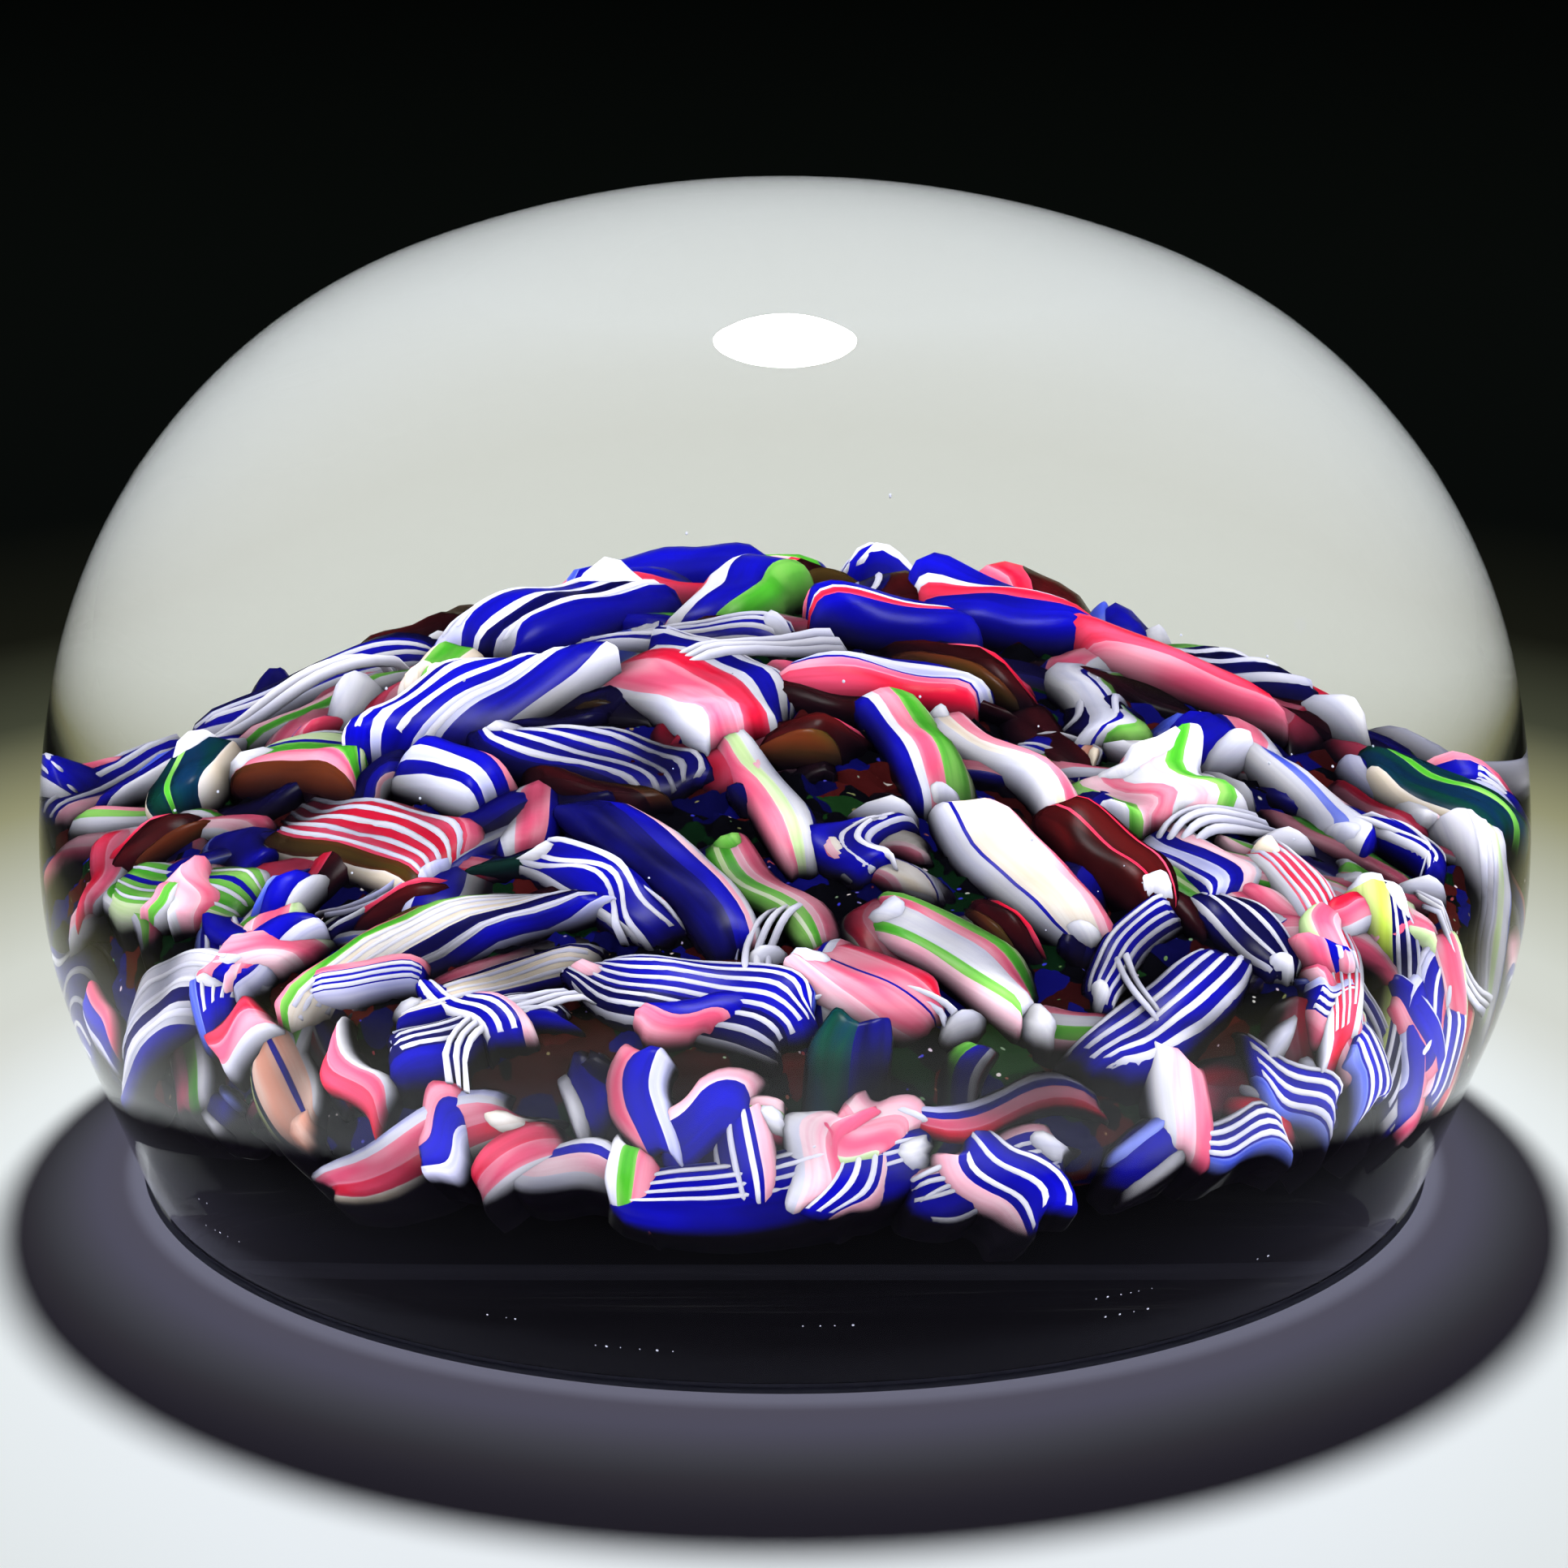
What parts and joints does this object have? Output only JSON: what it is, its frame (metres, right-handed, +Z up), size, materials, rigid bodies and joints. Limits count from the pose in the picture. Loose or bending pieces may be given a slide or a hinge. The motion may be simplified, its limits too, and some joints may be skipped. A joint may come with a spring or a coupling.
{
  "type": "paperweight",
  "caption": "Domed clear glass paperweight with a scramble of coloured filigree cane ends set under its crown, over a polished hollow foot.",
  "frame": {"origin": "middle of the foot ring, in the plane that it stands on", "axes": "+Z up through the crown; the front of the picture faces -Y, with +X to its right"},
  "size_m": [0.076, 0.076, 0.05],
  "materials": {
    "crystal": "clear lead crystal, fire-polished",
    "ground_crystal": "clear crystal, ground and polished foot",
    "opal_white": "opaque white cane glass",
    "filigree": "white threads in clear cane glass",
    "cobalt": "cobalt blue cane glass",
    "dark_cobalt": "near-black cobalt cane glass",
    "rose_pink": "rose pink cane glass",
    "hot_red": "red cane glass",
    "ruby": "dark ruby cane glass",
    "leaf_green": "leaf green cane glass",
    "lime": "lime green cane glass",
    "teal": "dark teal cane glass",
    "cream": "cream cane glass",
    "peach": "peach cane glass",
    "lavender": "lavender cane glass",
    "grey": "grey cane glass"
  },
  "bodies": {
    "root": {"crystal_dome": "crystal", "ground_gather": "ground_crystal", "white_slab": "opal_white", "white_blue_slab": "opal_white", "white_petal": "opal_white", "white_arch": "opal_white", "white_pink_slab": "opal_white", "white_blue_bow": "opal_white", "white_rods": "opal_white", "back_white_ribbons": "opal_white", "blue_line_slab": "filigree", "tangled_threads": "filigree", "long_thread_cane": "filigree", "low_thread_cane": "filigree", "fan_thread_cane": "filigree", "hooked_thread_cane": "filigree", "white_thread_cane": "filigree", "grey_stripe_cane": "filigree", "curled_threads": "filigree", "back_thread_canes": "filigree", "six_thread_cane": "cobalt", "cobalt_fan_cane": "cobalt", "blue_thread_cane": "cobalt", "far_blue_ribbons": "cobalt", "cobalt_arc_cane": "cobalt", "cobalt_thread_cane": "cobalt", "rim_thread_cane": "cobalt", "cobalt_shards": "cobalt", "dark_petal": "dark_cobalt", "pink_curl": "rose_pink", "fan_ribbon": "rose_pink", "pink_petal": "rose_pink", "pink_leaf": "rose_pink", "wavy_bow": "rose_pink", "pink_red_slab": "rose_pink", "pink_green_slab": "rose_pink", "back_pink_ribbons": "rose_pink", "red_thread_cane": "hot_red", "red_band": "hot_red", "red_bow": "hot_red", "red_stripe_cane": "hot_red", "red_sliver": "hot_red", "ruby_slab": "ruby", "ruby_rim_shard": "ruby", "ruby_shards": "ruby", "green_block": "leaf_green", "green_leaf": "leaf_green", "green_bow": "leaf_green", "green_pink_bow": "leaf_green", "green_thread_cane": "leaf_green", "looped_petal": "leaf_green", "back_petals": "leaf_green", "lime_slab": "lime", "teal_ribbons": "teal", "cream_bow": "cream", "cream_slab": "cream", "peach_slab": "peach", "long_striped_ribbon": "lavender", "back_bows": "lavender", "grey_ribbon": "grey"}
  },
  "joints": []
}
